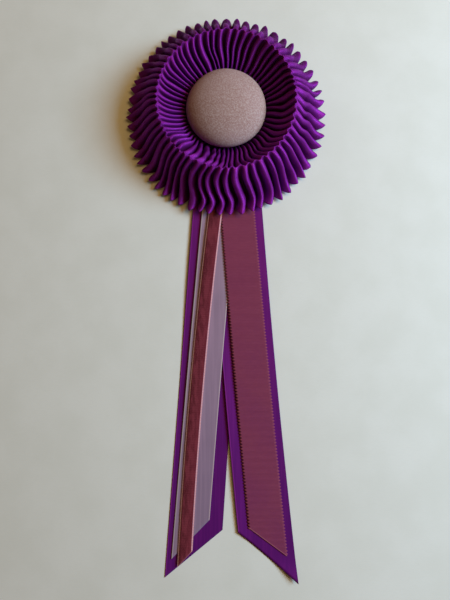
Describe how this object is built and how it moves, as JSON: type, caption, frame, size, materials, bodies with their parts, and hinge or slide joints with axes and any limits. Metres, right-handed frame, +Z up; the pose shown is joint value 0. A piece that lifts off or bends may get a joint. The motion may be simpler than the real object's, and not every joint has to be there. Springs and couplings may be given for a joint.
{
  "type": "ribbon rosette",
  "caption": "Ribbon rosette lying on its back: pleated two-sided satin frill with a raised rim, padded cloth button in its funnel, ribbon tails with slanting ends, card back with a brooch pin.",
  "frame": {"origin": "on the surface that the rosette lies on, under the middle of its whole outline", "axes": "+Z up, the way the button faces; the tails run towards -Y from the frill, whose centre is at Y 0.129; +X is to the right of a viewer who looks down with the tails nearest"},
  "size_m": [0.1492, 0.4122, 0.032],
  "materials": {
    "purple_satin": "pleated polyester satin with a soft sheen and fine cross weave",
    "button_cloth": "matt mauve linen-like weave stretched over padding",
    "lilac_satin": "dull greyish lilac satin with pale woven edges",
    "grosgrain": "rosewood grosgrain with fine cross ribs and looped edges",
    "velvet": "burgundy velvet pile with pale pink woven edges",
    "card": "matt off-white board",
    "pin_steel": "nickel-plated steel"
  },
  "bodies": {
    "root": {"backing_card": "card", "brooch_pin": "pin_steel", "tail_left": "purple_satin", "tail_right": "purple_satin", "lilac_ribbon": "lilac_satin", "grosgrain_ribbon": "grosgrain", "velvet_ribbon": "velvet", "frill": "purple_satin", "button": "button_cloth"}
  },
  "joints": []
}
